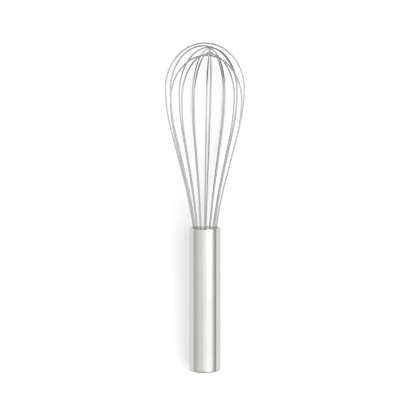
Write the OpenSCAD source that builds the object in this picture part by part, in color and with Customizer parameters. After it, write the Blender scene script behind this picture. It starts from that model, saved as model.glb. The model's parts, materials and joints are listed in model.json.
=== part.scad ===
// Balloon whisk: a closed steel grip tube with nested round wire loops.
// It lies as it rests on a table: on the edge of its end cap and on the belly
// of its lowest loop. +Z is up and the loops point along +Y.
// Every piece is drawn standing on the end cap, then laid down.

/* [Grip] */
// Outside diameter of the grip tube
grip_d = 24; // [20:0.5:36]
// Length from the end cap to the mouth rim
grip_l = 109.5; // [80:0.5:180]
// Wall of the grip tube
tube_wall = 0.8; // [0.5:0.1:1.5]

/* [End cap] */
// Thickness of the cap's flange
cap_t = 1.8; // [1.6:0.1:4]
// Rounding of the cap's outer edge
cap_edge_r = 1.2; // [0.4:0.1:1.5]
// Depth of the skirt inside the tube
skirt_l = 8; // [4:0.5:15]
// Wall of the skirt
skirt_wall = 0.9; // [0.6:0.1:1.5]

/* [Mouth] */
// Thickness of the plate the wires come out of
plate_t = 1.2; // [0.8:0.1:2.5]
// How far the plate sits below the mouth rim
plate_recess = 0.5; // [0.4:0.1:2]
// Metal left between the holes and the edge of the plate
plate_rim = 1.9; // [1:0.1:3]
// Length of the plug that the wire legs are set in
anchor_l = 20; // [12:1:35]
// Plug left below the end of each leg
anchor_floor = 2; // [1:0.5:6]
// Thickness of the disc below the plug
stop_t = 1; // [0.6:0.1:3]

/* [Wires] */
// Wire diameter
wire_d = 1.1; // [0.8:0.1:2]
// Angle of the legs to the axis at the plate
neck_angle = 7.5; // [4:0.5:10]
// Depth below the plate at which a leg bends parallel to the axis
elbow_depth = 1.5; // [1:0.1:4]
// Straight length of leg above the plate
neck_run = 1; // [0.5:0.5:4]
// Radius of the outward bend above the neck
flare_radius = 300; // [150:10:500]
// Angle of the straight sides to the axis
side_angle = 14.5; // [12:0.5:20]
// Straight length of the outermost loop's sides
side_run = 39.7; // [30:0.1:70]
// Radius of the bend from the side to the widest place
belly_radius = 122; // [80:1:200]
// Radius of the bend from the widest place to the crown
shoulder_radius = 36; // [24:1:45]
// Angle turned by the shoulder bend
shoulder_angle = 45; // [35:1:55]

/* [Clearances] */
// Gap between crowns where one loop passes under the next
crown_gap = 0.08; // [0.08:0.01:0.5]
// Extra gap below the crown of the outermost loop
outer_gap = 0.8; // [0:0.1:2]
// Gap around a leg in the plate
hole_gap = 0.1; // [0.05:0.01:0.3]
// Bond line around a leg in the plug
bond_gap = 0.02; // [0.01:0.01:0.1]
// Gap between the tube and what is pressed into it
press_gap = 0.02; // [0.01:0.01:0.1]

/* [Show] */
// Piece to draw

/* [Hidden] */
$fn = 64;
// Turn of each loop about the axis, outermost loop first
loop_turns = [0, -31, 41, 65, 93, -67, -45, 14];
// Sideways lean of each loop, outermost loop first
loop_leans = [0, -0.3, 1.1, 1.3, 1.5, 1.7, 1.5, 0.4];
// Depth below the plate's face at which the loops hinge to lean
lean_depth = 8;
// Overshoot that lets a cut run clear of a face
cut = 1;
// How far a joint of the wire stands proud of it
joint_proud = 0.03;
// How far each stretch of wire stops short of the middle of a joint
joint_trim = 0.05;

wire_r = wire_d / 2;
grip_r = grip_d / 2;
tube_in_r = grip_r - tube_wall;
insert_r = tube_in_r - press_gap;
mouth_z = grip_l - plate_recess;
anchor_top_z = mouth_z - plate_t;
anchor_base_z = anchor_top_z - anchor_l;
neck_r = insert_r - plate_rim - hole_gap - wire_r;
leg_l = anchor_l - anchor_floor - elbow_depth;
crown_step = wire_d + crown_gap;
// Drop of a crown for each millimetre taken from the straight sides
drop_rate = cos(side_angle)
    + sin(side_angle) * (1 - sin(shoulder_angle)) / cos(shoulder_angle);

// A loop's outline is worked out as [distance from axis, height above plate].
// An angle is that of the wire to the axis, positive where it runs outward.
function heading(angle) = [sin(angle), cos(angle)];
function normal(angle) = [cos(angle), -sin(angle)];
function bend_end(start, from, to, radius) =
    start + radius * (normal(to) - normal(from));

neck = [neck_r, 0];
elbow_rise = plate_t + elbow_depth;
elbow = neck - elbow_rise * [tan(neck_angle), 1];
flare_start = neck + neck_run * heading(neck_angle);
flare_end = bend_end(flare_start, neck_angle, side_angle, -flare_radius);
function crown_drop(i) = i * crown_step + min(i, 1) * outer_gap;
function side_length(i) = side_run - crown_drop(i) / drop_rate;
function belly_start(i) = flare_end + side_length(i) * heading(side_angle);
function belly_end(i) = bend_end(belly_start(i), side_angle, 0, belly_radius);
function shoulder_end(i) =
    bend_end(belly_end(i), 0, -shoulder_angle, shoulder_radius);
function crown_radius(i) = shoulder_end(i)[0] / cos(shoulder_angle);
function crown_centre(i) =
    [0, shoulder_end(i)[1] - crown_radius(i) * sin(shoulder_angle)];
function crown_top(i) = crown_centre(i)[1] + crown_radius(i);

// The whisk touches the table at its cap's edge and at the belly of its upright
// loop, which gives the angle it lies at.
upright = 4;
belly_skin_r = belly_radius + wire_r;
belly_centre = belly_end(upright) - [belly_radius, 0];
reach = mouth_z + belly_centre[1] - cap_edge_r;
rise = grip_r - cap_edge_r - belly_centre[0];
lie_angle = atan2(reach, rise)
    - acos((belly_skin_r - cap_edge_r) / norm([reach, rise]));
axis_height = cap_edge_r * (1 - sin(lie_angle))
    + (grip_r - cap_edge_r) * cos(lie_angle);
back_y = cap_edge_r * (cos(lie_angle) - 1)
    - (grip_r - cap_edge_r) * sin(lie_angle);
front_y = (mouth_z + crown_top(0)) * cos(lie_angle) + wire_r;
mid_y = (back_y + front_y) / 2;

module lay_down() {
    translate([0, -mid_y, axis_height])
        rotate([lie_angle - 90, 0, 0])
            children();
}

// One straight stretch of round bar, starting at a point of the outline.
module run(start, angle, length, thickness) {
    translate([start[0], 0, start[1]])
        rotate([0, angle, 0])
            cylinder(h = length, d = thickness);
}

// One bend of wire about a centre, between two directions seen from it.
// It stops just short of both ends, inside the joints there.
module bend(centre, radius, from, sweep) {
    trim = joint_trim / radius * 180 / PI;
    translate([centre[0], 0, centre[1]])
        rotate([90, 0, 0])
            rotate([0, 0, from + trim])
                rotate_extrude(angle = sweep - 2 * trim)
                    translate([radius, 0])
                        circle(d = wire_d);
}

// A ball a hair thicker than the wire, where two stretches of it meet.
module joint(point, gap = 0) {
    translate([point[0], 0, point[1]])
        sphere(d = wire_d + 2 * (joint_proud + gap));
}

// The buried end of a leg. Drawn thicker by a gap, it is the hole for that leg.
module buried_leg(gap, below, above) {
    thickness = wire_d + 2 * gap;
    run(elbow - [0, below], 0, below - joint_trim, thickness);
    joint(elbow, gap);
    run(elbow + joint_trim * heading(neck_angle), neck_angle,
        elbow_rise / cos(neck_angle) + above - joint_trim, thickness);
}

module half_loop(i) {
    buried_leg(0, leg_l, neck_run - joint_trim);
    joint(flare_start);
    bend(flare_start + flare_radius * normal(neck_angle), flare_radius,
        180 - side_angle, side_angle - neck_angle);
    joint(flare_end);
    run(flare_end + joint_trim * heading(side_angle), side_angle,
        side_length(i) - 2 * joint_trim, wire_d);
    joint(belly_start(i));
    bend(belly_end(i) - [belly_radius, 0], belly_radius,
        -side_angle, side_angle);
    joint(belly_end(i));
    bend(belly_end(i) - [shoulder_radius, 0], shoulder_radius,
        0, shoulder_angle);
    joint(shoulder_end(i));
}

// Sets a loop's own outline in its place among the others.
module in_place(i) {
    translate([0, 0, mouth_z - lean_depth])
        rotate([0, loop_leans[i], 0])
            translate([0, 0, lean_depth])
                rotate([0, 0, -loop_turns[i]])
                    children();
}

module wire_loop(i) {
    color("silver")
        lay_down()
            in_place(i) {
                half_loop(i);
                mirror([1, 0, 0]) half_loop(i);
                bend(crown_centre(i), crown_radius(i),
                    shoulder_angle, 180 - 2 * shoulder_angle);
            }
}

// The holes for every leg of every loop.
module leg_holes(gap) {
    for (i = [0 : len(loop_turns) - 1])
        for (side = [0, 1])
            in_place(i)
                mirror([side, 0, 0])
                    buried_leg(gap, leg_l + gap, cut);
}

module handle_tube() {
    color("gainsboro")
        lay_down()
            rotate_extrude() {
                translate([tube_in_r, cap_t])
                    square([tube_wall, grip_l - cap_t - tube_wall / 2]);
                translate([grip_r - tube_wall / 2, grip_l - tube_wall / 2])
                    circle(d = tube_wall);
            }
}

module end_cap() {
    color("lightgray")
        lay_down()
            rotate_extrude() {
                square([grip_r - cap_edge_r, cap_t]);
                translate([0, cap_edge_r])
                    square([grip_r, cap_t - cap_edge_r]);
                intersection() {
                    translate([grip_r - cap_edge_r, cap_edge_r])
                        circle(r = cap_edge_r);
                    square([grip_r, cap_t]);
                }
                translate([insert_r - skirt_wall, 0])
                    square([skirt_wall, cap_t + skirt_l]);
            }
}

module mouth_plate() {
    color("whitesmoke")
        lay_down()
            difference() {
                translate([0, 0, anchor_top_z])
                    cylinder(h = plate_t, r = insert_r);
                leg_holes(hole_gap);
            }
}

module wire_anchor() {
    color("khaki")
        lay_down()
            difference() {
                translate([0, 0, anchor_base_z])
                    cylinder(h = anchor_l, r = insert_r);
                leg_holes(bond_gap);
            }
}

module anchor_stop() {
    color("dimgray")
        lay_down()
            translate([0, 0, anchor_base_z - stop_t])
                cylinder(h = stop_t, r = insert_r);
}

handle_tube();
end_cap();
mouth_plate();
wire_anchor();
anchor_stop();
wire_loop(0);  // wire_loop_1
wire_loop(1);  // wire_loop_2
wire_loop(2);  // wire_loop_3
wire_loop(3);  // wire_loop_4
wire_loop(4);  // wire_loop_5
wire_loop(5);  // wire_loop_6
wire_loop(6);  // wire_loop_7
wire_loop(7);  // wire_loop_8
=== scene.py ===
"""Visual model of a balloon whisk: a closed steel grip tube with eight nested wire loops.

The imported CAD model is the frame. The tube, its cap and the wire loops are rebuilt finer round
their CAD nodes, and the pieces set inside the grip keep their CAD shape under finishes of their own.
"""

import json
import logging
import math
from dataclasses import dataclass
from enum import Enum

import bmesh
import bpy
from mathutils import Matrix, Vector


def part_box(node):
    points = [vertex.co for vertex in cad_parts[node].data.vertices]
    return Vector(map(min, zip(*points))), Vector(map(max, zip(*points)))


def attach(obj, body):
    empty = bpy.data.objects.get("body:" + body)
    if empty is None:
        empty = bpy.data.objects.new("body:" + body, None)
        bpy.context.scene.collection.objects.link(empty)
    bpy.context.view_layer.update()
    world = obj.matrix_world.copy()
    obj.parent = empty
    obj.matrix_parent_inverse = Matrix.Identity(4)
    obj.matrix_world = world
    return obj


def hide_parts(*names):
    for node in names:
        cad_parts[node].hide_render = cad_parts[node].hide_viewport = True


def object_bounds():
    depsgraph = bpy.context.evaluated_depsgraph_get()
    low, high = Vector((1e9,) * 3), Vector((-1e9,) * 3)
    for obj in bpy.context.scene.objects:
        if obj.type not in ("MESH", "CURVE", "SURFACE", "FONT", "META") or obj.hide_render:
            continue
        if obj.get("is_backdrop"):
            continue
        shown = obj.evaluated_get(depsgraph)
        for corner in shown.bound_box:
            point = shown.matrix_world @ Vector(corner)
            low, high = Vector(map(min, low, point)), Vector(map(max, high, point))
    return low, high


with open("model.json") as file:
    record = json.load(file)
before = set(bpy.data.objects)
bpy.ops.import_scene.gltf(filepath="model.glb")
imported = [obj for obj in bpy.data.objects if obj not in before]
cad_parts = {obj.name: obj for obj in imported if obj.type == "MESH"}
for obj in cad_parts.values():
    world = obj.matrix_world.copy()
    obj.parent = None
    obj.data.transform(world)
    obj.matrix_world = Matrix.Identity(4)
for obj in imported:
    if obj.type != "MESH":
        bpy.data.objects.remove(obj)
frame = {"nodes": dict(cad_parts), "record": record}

MM = 0.001
BODY = "root"
GRAIN_ATTRIBUTE = "wire_grain"
NOISE_ROUGHNESS = 0.55

log = logging.getLogger("whisk")


class Grain(Enum):
    """Which way the marks of a finish run."""

    LENGTHWISE = "along the grip"
    TURNED = "in rings round the grip's axis"
    DRAWN = "along the wire"
    CAST = "in no direction"


@dataclass(frozen=True)
class Reach:
    """How far a node reaches from the whisk's axis and along it, in metres."""

    inner: float
    outer: float
    low: float
    high: float


@dataclass(frozen=True)
class WhiskAxis:
    """The whisk's axis as it lies, from the middle of its closed end towards the loops."""

    end: Vector
    along: Vector

    @classmethod
    def from_record(cls, record: dict) -> "WhiskAxis":
        """Reads the axis from the record's mounts.

        Args:
            record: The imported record.

        Returns:
            The axis, which starts at the middle of the closed end's face.
        """
        mounts = {mount["name"]: mount for mount in record["mounts"]}
        face = mounts["end_face"]
        return cls(Vector(face["pos_m"]), -Vector(face["axis"]).normalized())

    @property
    def lie(self) -> float:
        """The turn about X that lays an upright whisk down, in radians."""
        return math.atan2(self.along.z, self.along.y) - math.pi / 2

    def laid_down(self) -> Matrix:
        """The matrix that lays down a piece drawn upright on the closed end."""
        return Matrix.Translation(self.end) @ Matrix.Rotation(self.lie, 4, "X")

    def reach(self, node: str) -> Reach:
        """Measures a CAD node against the axis.

        Args:
            node: The node's name.

        Returns:
            Its nearest and farthest distance from the axis and its two heights along it.
        """
        upright = self.laid_down().inverted()
        points = [upright @ vertex.co for vertex in frame["nodes"][node].data.vertices]
        radii = [math.hypot(point.x, point.y) for point in points]
        heights = [point.z for point in points]
        return Reach(min(radii), max(radii), min(heights), max(heights))


# --- Finishes ------------------------------------------------------------------------------------


class NodeGraph:
    """A node tree, with short ways to add and join nodes."""

    def __init__(self, tree: bpy.types.NodeTree) -> None:
        """Works on a tree.

        Args:
            tree: The tree to add to.
        """
        self.tree = tree

    def add(self, kind: str, inputs: dict | None = None, **settings: object) -> bpy.types.Node:
        """Adds a node.

        Args:
            kind: The node's type name.
            inputs: Values or output sockets for its inputs, by name or index.
            settings: Values for the node's own properties.

        Returns:
            The new node.
        """
        node = self.tree.nodes.new(kind)
        for key, value in settings.items():
            setattr(node, key, value)
        for key, value in (inputs or {}).items():
            self.feed(node.inputs[key], value)
        return node

    def feed(self, socket: bpy.types.NodeSocket, value: object) -> None:
        """Joins an output to a socket, or sets the socket's own value.

        Args:
            socket: The input to feed.
            value: An output socket, a number, a colour or a vector.
        """
        if isinstance(value, bpy.types.NodeSocket):
            self.tree.links.new(value, socket)
        else:
            socket.default_value = value

    def noise(self, vector: bpy.types.NodeSocket, scale: float, detail: float) -> bpy.types.NodeSocket:
        """Adds a noise pattern.

        Args:
            vector: The coordinates that it reads.
            scale: Its features in each metre.
            detail: How many finer layers it has.

        Returns:
            Its value, from 0 to 1.
        """
        inputs = {"Vector": vector, "Scale": scale, "Detail": detail, "Roughness": NOISE_ROUGHNESS}
        return self.add("ShaderNodeTexNoise", inputs).outputs["Fac"]

    def ranged(self, value: bpy.types.NodeSocket, low: float, high: float,
               ends: tuple[float, float], curve: str = "SMOOTHSTEP") -> bpy.types.NodeSocket:
        """Maps a value onto another range.

        Args:
            value: The value to map.
            low: Where the range of the value starts.
            high: Where it ends.
            ends: What those two become.
            curve: How it runs between them.

        Returns:
            The mapped value.
        """
        inputs = {"Value": value, "From Min": low, "From Max": high, "To Min": ends[0], "To Max": ends[1]}
        return self.add("ShaderNodeMapRange", inputs, interpolation_type=curve).outputs["Result"]

    def maths(self, operation: str, first: object, second: object) -> bpy.types.NodeSocket:
        """Adds a node that works out one number from two.

        Args:
            operation: The kind of operation.
            first: The first value or socket.
            second: The second value or socket.

        Returns:
            The result.
        """
        return self.add("ShaderNodeMath", {0: first, 1: second}, operation=operation).outputs[0]

    def blend(self, share: bpy.types.NodeSocket, first: tuple, second: tuple) -> bpy.types.NodeSocket:
        """Mixes two colours.

        Args:
            share: How much of the second colour there is.
            first: The colour at a share of 0.
            second: The colour at a share of 1.

        Returns:
            The mixed colour.
        """
        node = self.add("ShaderNodeMix", data_type="RGBA")
        self.feed(node.inputs["Factor"], share)
        self.feed(node.inputs["A"], (*first, 1.0))
        self.feed(node.inputs["B"], (*second, 1.0))
        return node.outputs["Result"]


class Surface(NodeGraph):
    """A new material's nodes."""

    def __init__(self, name: str) -> None:
        """Starts a material that holds only a surface shader and an output.

        Args:
            name: The material's name.
        """
        self.material = bpy.data.materials.new(name)
        self.material.use_nodes = True
        super().__init__(self.material.node_tree)
        self.shader = self.tree.nodes["Principled BSDF"]


@dataclass(frozen=True)
class Finish:
    """A surface with fine marks, soft smudges and a slow change of tone."""

    name: str
    grain: Grain
    light: tuple[float, float, float]
    dark: tuple[float, float, float]
    roughness: float
    metallic: float = 1.0
    roughness_spread: float = 0.03
    smudge_spread: float = 0.03
    mark_depth: float = 0.0005 * MM
    marks_per_metre: float = 2600.0
    smudges_per_metre: float = 55.0
    mark_stretch: float = 0.012
    mark_layers: float = 3.0
    smudge_layers: float = 2.0
    mark_share: float = 0.6
    tone_limits: tuple[float, float] = (0.35, 0.65)
    mark_limits: tuple[float, float] = (0.3, 0.7)
    smudge_limits: tuple[float, float] = (0.4, 0.7)

    def material(self, axis: WhiskAxis) -> bpy.types.Material:
        """Makes the finish.

        Args:
            axis: The whisk's axis, which the marks are lined up with.

        Returns:
            The finished material.
        """
        graph = Surface(self.name)
        place = self.coordinates(graph, axis)
        marks = graph.noise(self.stretched(graph, place), self.marks_per_metre, self.mark_layers)
        smudges = graph.noise(place, self.smudges_per_metre, self.smudge_layers)
        tone = graph.maths("ADD", graph.maths("MULTIPLY", marks, self.mark_share),
                           graph.maths("MULTIPLY", smudges, 1.0 - self.mark_share))
        light_share = graph.ranged(tone, *self.tone_limits, (0.0, 1.0))
        graph.feed(graph.shader.inputs["Base Color"], graph.blend(light_share, self.dark, self.light))
        spread = (-self.roughness_spread, self.roughness_spread)
        by_marks = graph.ranged(marks, *self.mark_limits, spread)
        by_smudges = graph.ranged(smudges, *self.smudge_limits, (0.0, self.smudge_spread))
        rough = graph.maths("ADD", graph.maths("ADD", by_marks, self.roughness), by_smudges)
        graph.feed(graph.shader.inputs["Roughness"], rough)
        graph.shader.inputs["Metallic"].default_value = self.metallic
        bump = graph.add("ShaderNodeBump", {"Height": marks, "Distance": self.mark_depth, "Strength": 1.0})
        graph.feed(graph.shader.inputs["Normal"], bump.outputs["Normal"])
        return graph.material

    def coordinates(self, graph: NodeGraph, axis: WhiskAxis) -> bpy.types.NodeSocket:
        """Adds the coordinates that the finish is laid out on.

        Args:
            graph: The material's nodes.
            axis: The whisk's axis.

        Returns:
            Coordinates whose Z runs along the wire or along the whisk's axis.
        """
        if self.grain is Grain.DRAWN:
            return graph.add("ShaderNodeAttribute", attribute_name=GRAIN_ATTRIBUTE).outputs["Vector"]
        place = graph.add("ShaderNodeTexCoord").outputs["Object"]
        upright = graph.add("ShaderNodeMapping", {"Vector": place}, vector_type="TEXTURE")
        upright.inputs["Location"].default_value = axis.end
        upright.inputs["Rotation"].default_value = (axis.lie, 0.0, 0.0)
        return upright.outputs["Vector"]

    def stretched(self, graph: NodeGraph, place: bpy.types.NodeSocket) -> bpy.types.NodeSocket:
        """Stretches the coordinates along the marks.

        Args:
            graph: The material's nodes.
            place: The finish's coordinates.

        Returns:
            Coordinates that change slowly along a mark.
        """
        if self.grain is Grain.CAST:
            return place
        if self.grain is Grain.TURNED:
            parts = graph.add("ShaderNodeSeparateXYZ", {"Vector": place}).outputs
            flat = graph.add("ShaderNodeCombineXYZ", {"X": parts["X"], "Y": parts["Y"]})
            radius = graph.add("ShaderNodeVectorMath", {0: flat.outputs[0]}, operation="LENGTH")
            angle = graph.maths("ARCTAN2", parts["Y"], parts["X"])
            turn = graph.maths("MULTIPLY", angle, self.mark_stretch * MM)
            ringed = {"X": radius.outputs["Value"], "Y": turn, "Z": parts["Z"]}
            return graph.add("ShaderNodeCombineXYZ", ringed).outputs[0]
        scale = (1.0, 1.0, self.mark_stretch)
        return graph.add("ShaderNodeMapping", {"Vector": place, "Scale": scale}).outputs["Vector"]


TUBE_FINISH = Finish("Polished tube steel", Grain.LENGTHWISE, (0.62, 0.61, 0.59), (0.58, 0.57, 0.55), 0.11)
CAP_FINISH = Finish("Turned cap steel", Grain.TURNED, (0.62, 0.61, 0.59), (0.56, 0.55, 0.53), 0.16)
PLATE_FINISH = Finish("Punched plate steel", Grain.CAST, (0.66, 0.65, 0.63), (0.55, 0.54, 0.52), 0.3)
STOP_FINISH = Finish("Rolled disc steel", Grain.CAST, (0.5, 0.5, 0.5), (0.38, 0.38, 0.38), 0.4)
WIRE_FINISH = Finish("Drawn wire steel", Grain.DRAWN, (0.48, 0.48, 0.475), (0.42, 0.425, 0.42), 0.16)
RESIN_FINISH = Finish("Cast potting resin", Grain.CAST, (0.62, 0.56, 0.4), (0.5, 0.44, 0.3), 0.45,
                      metallic=0.0, mark_depth=0.01 * MM, marks_per_metre=900.0)


# --- Pieces --------------------------------------------------------------------------------------


def report(piece: bpy.types.Object, node: str) -> None:
    """Logs a piece's size and how far its box stands from its CAD node's.

    Args:
        piece: The finished piece.
        node: The CAD node that it stands for.
    """
    low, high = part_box(node)
    corners = [Vector(corner) for corner in piece.bound_box]
    gaps = [min(corner[i] for corner in corners) - low[i] for i in range(3)]
    gaps += [max(corner[i] for corner in corners) - high[i] for i in range(3)]
    log.info("%s: %d faces, box within %.3f mm of its node", piece.name, len(piece.data.polygons),
             max(map(abs, gaps)) / MM)


def settle(piece: bpy.types.Object, node: str) -> None:
    """Hands a finished piece over to the frame.

    Args:
        piece: The finished piece, at the origin.
        node: The CAD node that it stands for.
    """
    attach(piece, BODY)
    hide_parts(node)
    report(piece, node)


def rounded(centre: tuple[float, float], radius: float, start: float, stop: float, steps: int
            ) -> list[tuple[float, float]]:
    """Points along a round corner of an outline.

    Args:
        centre: The middle of the corner's circle, as (distance from the axis, height).
        radius: The corner's radius.
        start: The first direction seen from the centre, in degrees from straight outwards.
        stop: The last one.
        steps: How many stretches the corner has.

    Returns:
        The points from the first direction to the last.
    """
    turns = [math.radians(start + (stop - start) * step / steps) for step in range(steps + 1)]
    return [(centre[0] + radius * math.cos(turn), centre[1] + radius * math.sin(turn)) for turn in turns]


@dataclass(frozen=True)
class RevolvedPiece:
    """A piece that was turned or drawn round the whisk's axis."""

    axis: WhiskAxis
    node: str
    slot: str
    finish: Finish
    sides: int = 160
    corner_steps: int = 8
    hold: float = 0.3 * MM
    long_run: int = 3
    sharp_angle: float = 30.0

    def outline(self) -> list[tuple[float, float]]:
        """The piece's cross-section, anticlockwise, as (distance from the axis, height)."""
        raise NotImplementedError

    def build(self) -> bpy.types.Object:
        """Turns the outline round the axis and lays the piece down.

        Returns:
            The finished object, with smooth faces and outward normals.
        """
        shape = bmesh.new()
        rings = [self.ring(shape, radius, height) for radius, height in self.held(self.outline())]
        for ring, following in zip(rings, rings[1:] + rings[:1]):
            self.band(shape, ring, following)
        bmesh.ops.recalc_face_normals(shape, faces=shape.faces)
        shape.transform(self.axis.laid_down())
        mesh = bpy.data.meshes.new(self.node + "_shell")
        shape.to_mesh(mesh)
        shape.free()
        mesh.shade_smooth()
        mesh.set_sharp_from_angle(angle=math.radians(self.sharp_angle))
        piece = bpy.data.objects.new(self.node + "_shell", mesh)
        bpy.context.scene.collection.objects.link(piece)
        return piece

    def held(self, outline: list[tuple[float, float]]) -> list[tuple[float, float]]:
        """Adds a ring close to each end of every long run, which keeps the shading between them true.

        A run is long where it is longer than long_run times the distance of those rings.

        Args:
            outline: The closed outline.

        Returns:
            The outline with the added points.
        """
        points = []
        for start, stop in zip(outline, outline[1:] + outline[:1]):
            points.append(start)
            length = math.dist(start, stop)
            if length > self.long_run * self.hold and max(start[0], stop[0]) > 0.0:
                for share in (self.hold / length, 1 - self.hold / length):
                    points.append(tuple(a + (b - a) * share for a, b in zip(start, stop)))
        return points

    def ring(self, shape: bmesh.types.BMesh, radius: float, height: float) -> list[bmesh.types.BMVert]:
        """Adds one ring of points, or a single point on the axis.

        Args:
            shape: The mesh being built.
            radius: The ring's radius.
            height: Its height along the axis.

        Returns:
            The ring's points.
        """
        if radius == 0.0:
            return [shape.verts.new((0.0, 0.0, height))]
        turns = [math.tau * side / self.sides for side in range(self.sides)]
        places = [(radius * math.cos(turn), radius * math.sin(turn), height) for turn in turns]
        return [shape.verts.new(place) for place in places]

    def band(self, shape: bmesh.types.BMesh, first: list[bmesh.types.BMVert],
             second: list[bmesh.types.BMVert]) -> None:
        """Fills the band between two rings, either of which may be a single point.

        Args:
            shape: The mesh being built.
            first: One ring.
            second: The ring after it.
        """
        if len(first) == 1 and len(second) == 1:
            return
        for side in range(self.sides):
            following = (side + 1) % self.sides
            corners = [ring[index % len(ring)] for ring, index in
                       ((first, side), (first, following), (second, following), (second, side))]
            shape.faces.new(list(dict.fromkeys(corners)))

    def dress(self, piece: bpy.types.Object) -> None:
        """Gives the piece its finish."""
        piece.data.materials.append(self.finish.material(self.axis))

    def make(self) -> None:
        """Builds and dresses the piece, and hands it over to the frame."""
        piece = self.build()
        self.dress(piece)
        settle(piece, self.node)


@dataclass(frozen=True)
class GripTube(RevolvedPiece):
    """The grip's drawn tube, with a round mouth rim and a broken edge at the cap."""

    seam_chamfer: float = 0.15 * MM

    def outline(self) -> list[tuple[float, float]]:
        """The tube's wall, anticlockwise, as (distance from the axis, height)."""
        size = self.axis.reach(self.node)
        rim = (size.outer - size.inner) / 2
        middle = size.inner + rim
        return [
            (size.inner, size.low),
            (size.outer - self.seam_chamfer, size.low),
            (size.outer, size.low + self.seam_chamfer),
            *rounded((middle, size.high - rim), rim, 0, 180, 2 * self.corner_steps),
        ]


@dataclass(frozen=True)
class EndCap(RevolvedPiece):
    """The cap pressed into the closed end, with a rounded edge and a skirt inside the tube."""

    edge_radius: float = 1.2 * MM
    seam_chamfer: float = 0.15 * MM
    skirt_wall: float = 0.9 * MM
    skirt_clearance: float = 0.02 * MM

    def outline(self) -> list[tuple[float, float]]:
        """The cap's cross-section from the middle of its face round to the middle inside."""
        size = self.axis.reach(self.node)
        tube = self.axis.reach("handle_tube")
        skirt = tube.inner - self.skirt_clearance
        return [
            (0.0, 0.0),
            *rounded((size.outer - self.edge_radius, self.edge_radius), self.edge_radius, -90, 0,
                     self.corner_steps),
            (size.outer, tube.low - self.seam_chamfer),
            (size.outer - self.seam_chamfer, tube.low),
            (skirt, tube.low),
            (skirt, size.high),
            (skirt - self.skirt_wall, size.high),
            (skirt - self.skirt_wall, tube.low),
            (0.0, tube.low),
        ]


class Pen:
    """Draws a bent wire's centre line, as a hand bender would: run by run and bend by bend."""

    def __init__(self, start: tuple[float, float], spacing: float) -> None:
        """Sets the pen down, heading along the axis.

        Args:
            start: Where the line starts, as (distance from the axis, height).
            spacing: The distance between the line's points.
        """
        self.points = [start]
        self.angle = 0.0
        self.spacing = spacing

    def run(self, length: float) -> "Pen":
        """Draws a straight stretch.

        Args:
            length: Its length.

        Returns:
            The pen itself.
        """
        steps = max(1, math.ceil(length / self.spacing))
        x, z = self.points[-1]
        for step in range(1, steps + 1):
            part = length * step / steps
            self.points.append((x + part * math.sin(self.angle), z + part * math.cos(self.angle)))
        return self

    def bend(self, degrees: float, radius: float) -> "Pen":
        """Draws a bend.

        Args:
            degrees: The heading after the bend, from the axis and positive outwards.
            radius: The bend's radius, negative where it bends away from the axis.

        Returns:
            The pen itself.
        """
        target = math.radians(degrees)
        steps = max(4, math.ceil(abs(radius * (target - self.angle)) / self.spacing))
        x, z = self.points[-1]
        first = self.angle
        for step in range(1, steps + 1):
            turn = first + (target - first) * step / steps
            self.points.append((x + radius * (math.cos(turn) - math.cos(first)),
                                z - radius * (math.sin(turn) - math.sin(first))))
        self.angle = target
        return self

    def head(self, degrees: float) -> "Pen":
        """Turns the heading on the spot.

        Args:
            degrees: The new heading, from the axis and positive outwards.

        Returns:
            The pen itself.
        """
        self.angle = math.radians(degrees)
        return self


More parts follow.
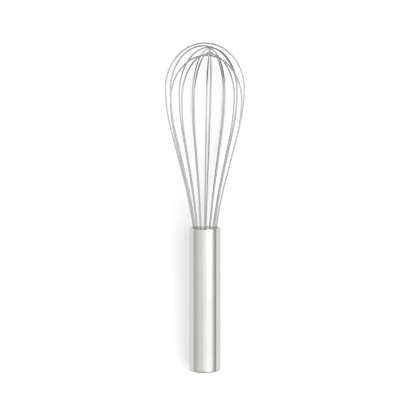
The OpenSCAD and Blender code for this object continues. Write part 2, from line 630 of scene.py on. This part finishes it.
class WireTree(NodeGraph):
    """The Geometry Nodes that sweep a round wire along a path and set it among the others."""

    def __init__(self) -> None:
        """Builds the tree with named inputs for the wire's sizes and its place."""
        super().__init__(bpy.data.node_groups.new("Bent wire", "GeometryNodeTree"))
        self.socket("Path", "NodeSocketGeometry")
        self.socket("Wire Radius", "NodeSocketFloat")
        self.socket("Facets", "NodeSocketInt")
        for name in ("Turn", "Lean Drop", "Lean", "Lean Rise", "Lie", "Closed End"):
            self.socket(name, "NodeSocketVector")
        self.socket("Finish", "NodeSocketMaterial")
        self.tree.interface.new_socket("Wire", in_out="OUTPUT", socket_type="NodeSocketGeometry")
        given = self.add("NodeGroupInput").outputs
        swept = self.sweep(given)
        turned = self.moved(swept, given["Lean Drop"], given["Turn"])
        leaned = self.moved(turned, given["Lean Rise"], given["Lean"])
        laid = self.moved(leaned, given["Closed End"], given["Lie"])
        real = self.add("GeometryNodeRealizeInstances", {"Geometry": laid}).outputs[0]
        dressed = self.add("GeometryNodeSetMaterial", {"Geometry": real, "Material": given["Finish"]})
        self.add("NodeGroupOutput", {"Wire": dressed.outputs[0]})

    def socket(self, name: str, kind: str) -> None:
        """Adds a named input."""
        self.tree.interface.new_socket(name, in_out="INPUT", socket_type=kind)

    def sweep(self, given: bpy.types.NodeOutputs) -> bpy.types.NodeSocket:
        """Sweeps the round section along the path, and marks each point with its place on the wire.

        Args:
            given: The tree's inputs.

        Returns:
            The closed wire, smooth, in the path's own plane.
        """
        path = self.add("GeometryNodeMeshToCurve", {"Mesh": given["Path"]}).outputs[0]
        length = self.add("GeometryNodeSplineParameter").outputs["Length"]
        path = self.stored(path, "along", "FLOAT", length)
        ring = self.add("GeometryNodeCurvePrimitiveCircle",
                         {"Resolution": given["Facets"], "Radius": given["Wire Radius"]}).outputs[0]
        position = self.add("GeometryNodeInputPosition").outputs[0]
        ring = self.stored(ring, "across", "FLOAT_VECTOR", position)
        sweep = {"Curve": path, "Profile Curve": ring, "Fill Caps": True}
        wire = self.add("GeometryNodeCurveToMesh", sweep)
        stored = self.named("across", "FLOAT_VECTOR")
        across = self.add("ShaderNodeSeparateXYZ", {"Vector": stored}).outputs
        place = self.add("ShaderNodeCombineXYZ", {"X": across["X"], "Y": across["Y"],
                                                   "Z": self.named("along", "FLOAT")})
        marked = self.stored(wire.outputs[0], GRAIN_ATTRIBUTE, "FLOAT_VECTOR", place.outputs[0])
        for spare in ("along", "across"):
            inputs = {"Geometry": marked, "Name": spare}
            marked = self.add("GeometryNodeRemoveAttribute", inputs).outputs[0]
        return self.add("GeometryNodeSetShadeSmooth", {"Geometry": marked}).outputs[0]

    def stored(self, geometry: bpy.types.NodeSocket, name: str, kind: str, value: bpy.types.NodeSocket
               ) -> bpy.types.NodeSocket:
        """Stores a value on every point.

        Args:
            geometry: The geometry to store it on.
            name: The attribute's name.
            kind: The attribute's data type.
            value: The value to store.

        Returns:
            The geometry with the attribute.
        """
        inputs = {"Geometry": geometry, "Name": name, "Value": value}
        node = self.add("GeometryNodeStoreNamedAttribute", inputs, data_type=kind, domain="POINT")
        return node.outputs[0]

    def named(self, name: str, kind: str) -> bpy.types.NodeSocket:
        """Reads a stored value of the given data type."""
        return self.add("GeometryNodeInputNamedAttribute", {"Name": name}, data_type=kind).outputs[0]

    def moved(self, geometry: bpy.types.NodeSocket, shift: bpy.types.NodeSocket, turn: bpy.types.NodeSocket
              ) -> bpy.types.NodeSocket:
        """Turns the geometry about the origin, then shifts it.

        Args:
            geometry: The geometry to move.
            shift: How far it is shifted.
            turn: Its turn, as three angles in radians.

        Returns:
            The moved geometry.
        """
        inputs = {"Geometry": geometry, "Translation": shift, "Rotation": turn}
        return self.add("GeometryNodeTransform", inputs).outputs[0]

    def apply(self, piece: bpy.types.Object, values: dict[str, object]) -> None:
        """Runs the tree on an object and keeps the result as its plain mesh.

        Args:
            piece: The object that holds the path.
            values: The tree's inputs, by name.
        """
        modifier = piece.modifiers.new("Bent wire", "NODES")
        modifier.node_group = self.tree
        for item in self.tree.interface.items_tree:
            if item.in_out == "INPUT" and item.name in values:
                modifier[item.identifier] = values[item.name]
        ready = piece.evaluated_get(bpy.context.evaluated_depsgraph_get())
        mesh = bpy.data.meshes.new_from_object(ready)
        piece.modifiers.clear()
        piece.data = mesh


@dataclass(frozen=True)
class WireLoop:
    """One wire loop: where it stands among the others."""

    number: int
    turn: float
    lean: float

    @property
    def node(self) -> str:
        """The loop's CAD node."""
        return f"wire_loop_{self.number}"


LOOPS = (
    WireLoop(1, 0, 0), WireLoop(2, -31, -0.3), WireLoop(3, 41, 1.1), WireLoop(4, 65, 1.3),
    WireLoop(5, 93, 1.5), WireLoop(6, -67, 1.7), WireLoop(7, -45, 1.5), WireLoop(8, 14, 0.4),
)


@dataclass(frozen=True)
class Balloon:
    """The eight nested loops of round wire, bent on one former to falling lengths."""

    axis: WhiskAxis
    wire_d: float = 1.1 * MM
    plate_rim: float = 1.9 * MM
    hole_gap: float = 0.1 * MM
    neck_angle: float = 7.5
    elbow_depth: float = 1.5 * MM
    neck_run: float = 1.0 * MM
    flare_radius: float = 300 * MM
    side_angle: float = 14.5
    side_run: float = 39.7 * MM
    belly_radius: float = 122 * MM
    shoulder_radius: float = 36 * MM
    shoulder_angle: float = 45.0
    crown_gap: float = 0.08 * MM
    outer_gap: float = 0.8 * MM
    lean_depth: float = 8 * MM
    anchor_floor: float = 2 * MM
    spacing: float = 1.2 * MM
    facets: int = 20

    def side_length(self, index: int) -> float:
        """Works out the straight length of a loop's sides.

        Args:
            index: How many loops lie outside this one.

        Returns:
            The length, which falls as the crown drops below the loops round it.
        """
        side, shoulder = math.radians(self.side_angle), math.radians(self.shoulder_angle)
        drop_rate = math.cos(side) + math.sin(side) * (1 - math.sin(shoulder)) / math.cos(shoulder)
        drop = index * (self.wire_d + self.crown_gap) + min(index, 1) * self.outer_gap
        return self.side_run - drop / drop_rate

    def half_path(self, index: int) -> list[tuple[float, float]]:
        """The centre line of a loop from a leg's buried end to the crown.

        Args:
            index: How many loops lie outside this one.

        Returns:
            Its points as (distance from the axis, height above the plate's face).
        """
        plate, anchor = self.axis.reach("mouth_plate"), self.axis.reach("wire_anchor")
        neck = plate.outer - self.plate_rim - self.hole_gap - self.wire_d / 2
        elbow_rise = plate.high - plate.low + self.elbow_depth
        leg = anchor.high - anchor.low - self.anchor_floor - self.elbow_depth
        slope = math.radians(self.neck_angle)
        pen = Pen((neck - elbow_rise * math.tan(slope), -elbow_rise - leg), self.spacing)
        pen.run(leg).head(self.neck_angle).run(elbow_rise / math.cos(slope) + self.neck_run)
        pen.bend(self.side_angle, -self.flare_radius).run(self.side_length(index))
        pen.bend(0, self.belly_radius).bend(-self.shoulder_angle, self.shoulder_radius)
        pen.bend(-90, pen.points[-1][0] / math.cos(math.radians(self.shoulder_angle)))
        return pen.points

    def path(self, loop: WireLoop) -> bpy.types.Object:
        """Makes the whole centre line of a loop as a chain of edges.

        Args:
            loop: The loop.

        Returns:
            An object that holds the chain.
        """
        half = self.half_path(loop.number - 1)
        line = half + [(-x, z) for x, z in reversed(half[:-1])]
        mesh = bpy.data.meshes.new(loop.node + "_path")
        mesh.from_pydata([(x, 0.0, z) for x, z in line], [(i, i + 1) for i in range(len(line) - 1)], [])
        piece = bpy.data.objects.new(loop.node + "_drawn", mesh)
        bpy.context.scene.collection.objects.link(piece)
        return piece

    def make(self) -> None:
        """Builds, dresses and hands over every loop."""
        tree = WireTree()
        steel = WIRE_FINISH.material(self.axis)
        mouth = self.axis.reach("mouth_plate").high
        for loop in LOOPS:
            piece = self.path(loop)
            tree.apply(piece, {
                "Wire Radius": self.wire_d / 2,
                "Facets": self.facets,
                "Turn": (0.0, 0.0, -math.radians(loop.turn)),
                "Lean Drop": (0.0, 0.0, self.lean_depth),
                "Lean": (0.0, math.radians(loop.lean), 0.0),
                "Lean Rise": (0.0, 0.0, mouth - self.lean_depth),
                "Lie": (self.axis.lie, 0.0, 0.0),
                "Closed End": tuple(self.axis.end),
                "Finish": steel,
            })
            settle(piece, loop.node)


@dataclass(frozen=True)
class SetPieces:
    """The pieces set inside the grip, which keep their CAD shape."""

    axis: WhiskAxis

    def make(self) -> None:
        """Dresses the plate, the plug that holds the legs and the disc below it."""
        for node, finish in (("mouth_plate", PLATE_FINISH), ("wire_anchor", RESIN_FINISH),
                             ("anchor_stop", STOP_FINISH)):
            piece = frame["nodes"][node]
            piece.data.materials.clear()
            piece.data.materials.append(finish.material(self.axis))
            log.info("%s: dressed", node)


# --- Studio --------------------------------------------------------------------------------------


@dataclass(frozen=True)
class SoftBox:
    """A large soft lamp over the table, given by the angles that it fills seen from the whisk."""

    name: str
    from_angle: float
    to_angle: float
    distance: float
    length: float
    radiance: float
    shift: float

    def make(self) -> None:
        """Hangs the lamp, facing the whisk."""
        middle = math.radians((self.from_angle + self.to_angle) / 2)
        half = math.radians(self.to_angle - self.from_angle) / 2
        width = 2 * self.distance * math.tan(half)
        lamp = bpy.data.lights.new(self.name, "AREA")
        lamp.shape = "RECTANGLE"
        lamp.size = width
        lamp.size_y = self.length
        lamp.energy = self.radiance * math.pi * width * self.length
        holder = bpy.data.objects.new(self.name, lamp)
        towards = Vector((math.sin(middle), 0.0, math.cos(middle)))
        holder.location = towards * self.distance + Vector((0.0, self.shift, 0.0))
        holder.rotation_euler = (0.0, middle, 0.0)
        bpy.context.scene.collection.objects.link(holder)


@dataclass(frozen=True)
class Tent:
    """The light tent over the table: white cloth that is brighter towards the key lamp.

    Its arch runs from one side of the table over the whisk to the other, given as angles from
    straight above with the cloth's brightness there. It is open at the ends, where the dark room
    shows: near_end and far_end are the Y parts of the directions between which the cloth fades.
    """

    arch: tuple[tuple[float, float], ...] = (
        (-92, 0.62), (-82, 0.66), (-64, 0.82), (-40, 1.04), (-18, 1.12), (-8, 1.36), (6, 1.4), (13, 1.6),
        (46, 1.6), (60, 1.1), (76, 0.55), (90, 0.4),
    )
    cloth: tuple[float, float, float] = (0.985, 0.99, 0.99)
    room: tuple[float, float, float] = (0.09, 0.1, 0.105)
    near_end: tuple[float, float] = (-0.78, -0.56)
    far_end: tuple[float, float] = (0.2, 0.45)
    backdrop: float = 0.97

    def make(self) -> None:
        """Makes the tent the world's light, with a pale backdrop where the camera sees past the table."""
        world = bpy.data.worlds.new("Light tent")
        bpy.context.scene.world = world
        world.use_nodes = True
        graph = NodeGraph(world.node_tree)
        direction = graph.add("ShaderNodeTexCoord").outputs["Generated"]
        way = graph.add("ShaderNodeSeparateXYZ", {0: direction}).outputs
        angle = graph.maths("ARCTAN2", way["X"], way["Z"])
        limits = [math.radians(self.arch[0][0]), math.radians(self.arch[-1][0])]
        ramp = graph.add("ShaderNodeValToRGB", {"Fac": graph.ranged(angle, *limits, (0.0, 1.0), "LINEAR")})
        brightest = max(level for _, level in self.arch)
        stops = ramp.color_ramp.elements
        while len(stops) < len(self.arch):
            stops.new(1.0)
        for stop, (degrees, level) in zip(stops, self.arch):
            stop.position = (math.radians(degrees) - limits[0]) / (limits[1] - limits[0])
            stop.color = (*(level / brightest * part for part in self.cloth), 1.0)
        near = graph.ranged(way["Y"], *self.near_end, (0.0, 1.0))
        far = graph.ranged(way["Y"], *self.far_end, (1.0, 0.0))
        cloth = graph.add("ShaderNodeBackground", {"Color": ramp.outputs["Color"], "Strength": brightest})
        room = graph.add("ShaderNodeBackground", {"Color": (*self.room, 1.0)})
        lit = graph.add("ShaderNodeMixShader", {0: graph.maths("MULTIPLY", near, far), 1: room.outputs[0],
                                                2: cloth.outputs[0]})
        pale = graph.add("ShaderNodeBackground", {"Color": (self.backdrop,) * 3 + (1.0,)})
        seen = graph.add("ShaderNodeLightPath").outputs["Is Camera Ray"]
        mixed = graph.add("ShaderNodeMixShader", {0: seen, 1: lit.outputs[0], 2: pale.outputs[0]})
        graph.feed(graph.tree.nodes["World Output"].inputs["Surface"], mixed.outputs[0])


@dataclass(frozen=True)
class Studio:
    """A pale table in a light tent, seen from straight above."""

    table_size: float = 8.0
    table_tone: float = 0.86
    table_roughness: float = 0.9
    table_glow: float = 0.34
    lens: float = 120.0
    far_clip: float = 100.0
    camera_height: float = 4.3
    camera_shift: tuple[float, float] = (2.3 * MM, 0.5 * MM)
    tent: Tent = Tent()
    lamps: tuple[SoftBox, ...] = (
        SoftBox("Key lamp", from_angle=15, to_angle=45, distance=1.1, length=1.2, radiance=1.2, shift=0.34),
    )

    def make(self, low: Vector, high: Vector) -> None:
        """Sets the studio round the whisk.

        Args:
            low: The lowest corner of the CAD model's box.
            high: Its highest corner.
        """
        self.table(low.z)
        self.tent.make()
        self.camera((high - low).y)
        for lamp in self.lamps:
            lamp.make()
        bpy.context.scene.view_settings.view_transform = "Standard"
        log.info("studio: %d lamps", len(self.lamps))

    def table(self, height: float) -> None:
        """Lays the table top.

        Args:
            height: Its height, which is where the whisk rests.
        """
        half = self.table_size / 2
        mesh = bpy.data.meshes.new("Table top")
        mesh.from_pydata([(-half, -half, height), (half, -half, height), (half, half, height),
                          (-half, half, height)], [], [(0, 1, 2, 3)])
        top = bpy.data.objects.new("Table top", mesh)
        graph = Surface("Pale table")
        graph.shader.inputs["Base Color"].default_value = (self.table_tone,) * 3 + (1.0,)
        graph.shader.inputs["Roughness"].default_value = self.table_roughness
        graph.shader.inputs["Specular IOR Level"].default_value = 0.0
        graph.shader.inputs["Emission Color"].default_value = (1.0, 1.0, 1.0, 1.0)
        graph.shader.inputs["Emission Strength"].default_value = self.table_glow
        mesh.materials.append(graph.material)
        bpy.context.scene.collection.objects.link(top)
        top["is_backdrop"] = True

    def camera(self, length: float) -> None:
        """Hangs the camera over the middle of the whisk.

        Args:
            length: The whisk's length, which the height is given in.
        """
        lens = bpy.data.cameras.new("Camera")
        lens.lens = self.lens
        lens.clip_end = self.far_clip
        holder = bpy.data.objects.new("Camera", lens)
        holder.location = (*self.camera_shift, self.camera_height * length)
        bpy.context.scene.collection.objects.link(holder)
        bpy.context.scene.camera = holder


def main() -> None:
    """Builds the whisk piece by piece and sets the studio."""
    logging.basicConfig(level=logging.INFO, format="%(name)s: %(message)s")
    cad_low, cad_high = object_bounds()
    axis = WhiskAxis.from_record(frame["record"])
    GripTube(axis, "handle_tube", "tube_steel", TUBE_FINISH).make()
    EndCap(axis, "end_cap", "cap_steel", CAP_FINISH).make()
    SetPieces(axis).make()
    Balloon(axis).make()
    Studio().make(cad_low, cad_high)


if __name__ == "__main__":
    main()
